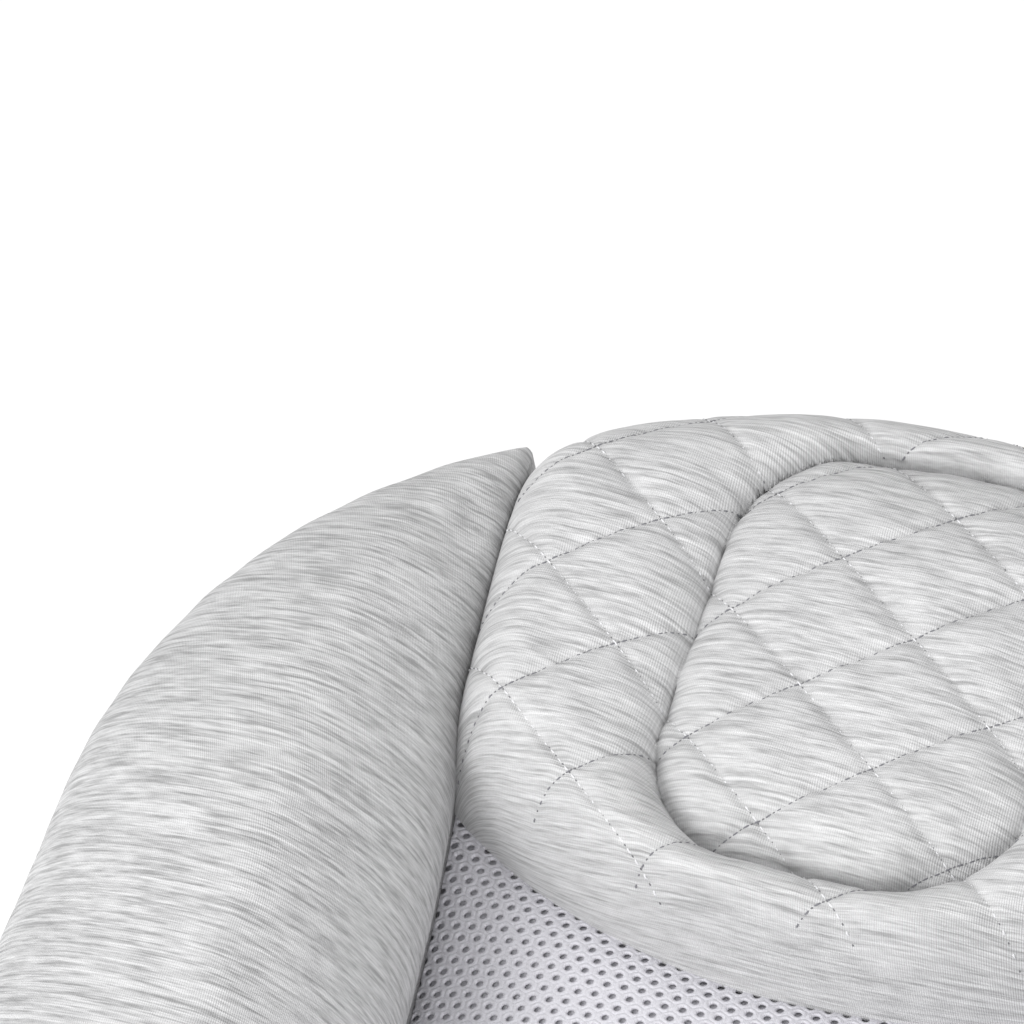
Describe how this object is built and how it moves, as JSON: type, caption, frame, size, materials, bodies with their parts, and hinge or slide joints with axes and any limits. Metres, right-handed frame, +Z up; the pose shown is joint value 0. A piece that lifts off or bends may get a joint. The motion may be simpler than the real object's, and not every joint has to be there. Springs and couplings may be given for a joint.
{
  "type": "baby bouncer seat",
  "caption": "Reclining baby bouncer seat: padded fabric sling on a steel ring, carried by two sprung arms on a fold-flat floor frame.",
  "frame": {"origin": "on the floor, under the middle of the whole seat's bounding box", "axes": "+X across the seat, +Y towards the head end, +Z up"},
  "size_m": [0.396, 0.68, 0.455],
  "materials": {
    "steel_ring": "satin",
    "frame_tube": "satin",
    "bright_steel": "satin",
    "dark_nylon": "matte",
    "grey_plastic": "satin",
    "button_plastic": "satin",
    "foot_rubber": "matte",
    "heather_jersey": "matte",
    "quilted_jersey": "matte",
    "spacer_mesh": "matte",
    "woven_sling": "matte",
    "webbing": "matte"
  },
  "bodies": {
    "base": {"floor_rail_left": "frame_tube", "floor_rail_right": "frame_tube", "rear_coupler": "dark_nylon", "coupler_screws": "bright_steel", "front_cross_tube": "frame_tube", "front_housing_left": "dark_nylon", "front_housing_right": "dark_nylon", "housing_screws": "bright_steel", "rubber_feet": "foot_rubber", "front_pads": "foot_rubber"},
    "carrier": {"fold_shaft": "bright_steel", "shaft_sleeve": "grey_plastic", "carrier_left": "dark_nylon", "carrier_right": "dark_nylon"},
    "arms": {"arm_tube_left": "frame_tube", "arm_tube_right": "frame_tube", "arm_hub_left": "dark_nylon", "arm_hub_right": "dark_nylon", "hub_axles": "bright_steel"},
    "seat": {"head_hoop": "steel_ring", "foot_hoop": "steel_ring", "hub_bracket_left": "dark_nylon", "hub_bracket_right": "dark_nylon", "bolster_left": "heather_jersey", "bolster_right": "heather_jersey", "head_insert": "quilted_jersey", "seat_pad": "spacer_mesh", "support_sling": "woven_sling", "foot_cushion": "heather_jersey", "crotch_strap": "webbing", "waist_strap_left": "webbing", "waist_strap_right": "webbing", "buckle_body": "grey_plastic", "buckle_tongues": "grey_plastic"},
    "fold_button_left": {"fold_button_left": "button_plastic"},
    "fold_button_right": {"fold_button_right": "button_plastic"},
    "recline_button_left": {"recline_button_left": "button_plastic"},
    "recline_button_right": {"recline_button_right": "button_plastic"},
    "buckle_button": {"buckle_button": "button_plastic"}
  },
  "joints": [
    {"name": "fold", "type": "hinge", "parent": "base", "child": "carrier", "pos_m": [0, -0.3, 0.042], "axis": [1, 0, 0], "range_deg": [-16, 0]},
    {"name": "bounce", "type": "hinge", "parent": "carrier", "child": "arms", "pos_m": [0, -0.2687, 0.05528], "axis": [1, 0, 0], "range_deg": [-4.3, 3.5], "stiffness_Nm_per_rad": 400, "springref_deg": 1.78},
    {"name": "recline", "type": "hinge", "parent": "arms", "child": "seat", "pos_m": [0, -0.01, 0.165], "axis": [1, 0, 0], "range_deg": [0, 17]},
    {"name": "fold_button_left_press", "type": "slide", "parent": "base", "child": "fold_button_left", "axis": [0, 1, 0], "range_m": [0, 0.004], "stiffness_N_per_m": 800, "springref_m": -0.002},
    {"name": "fold_button_right_press", "type": "slide", "parent": "base", "child": "fold_button_right", "axis": [0, 1, 0], "range_m": [0, 0.004], "stiffness_N_per_m": 800, "springref_m": -0.002},
    {"name": "recline_button_left_press", "type": "slide", "parent": "arms", "child": "recline_button_left", "axis": [1, 0, 0], "range_m": [0, 0.003], "stiffness_N_per_m": 800, "springref_m": -0.002},
    {"name": "recline_button_right_press", "type": "slide", "parent": "arms", "child": "recline_button_right", "axis": [-1, 0, 0], "range_m": [0, 0.003], "stiffness_N_per_m": 800, "springref_m": -0.002},
    {"name": "buckle_button_press", "type": "slide", "parent": "seat", "child": "buckle_button", "axis": [0, 0.4695, -0.8829], "range_m": [0, 0.003], "stiffness_N_per_m": 800, "springref_m": -0.002}
  ]
}
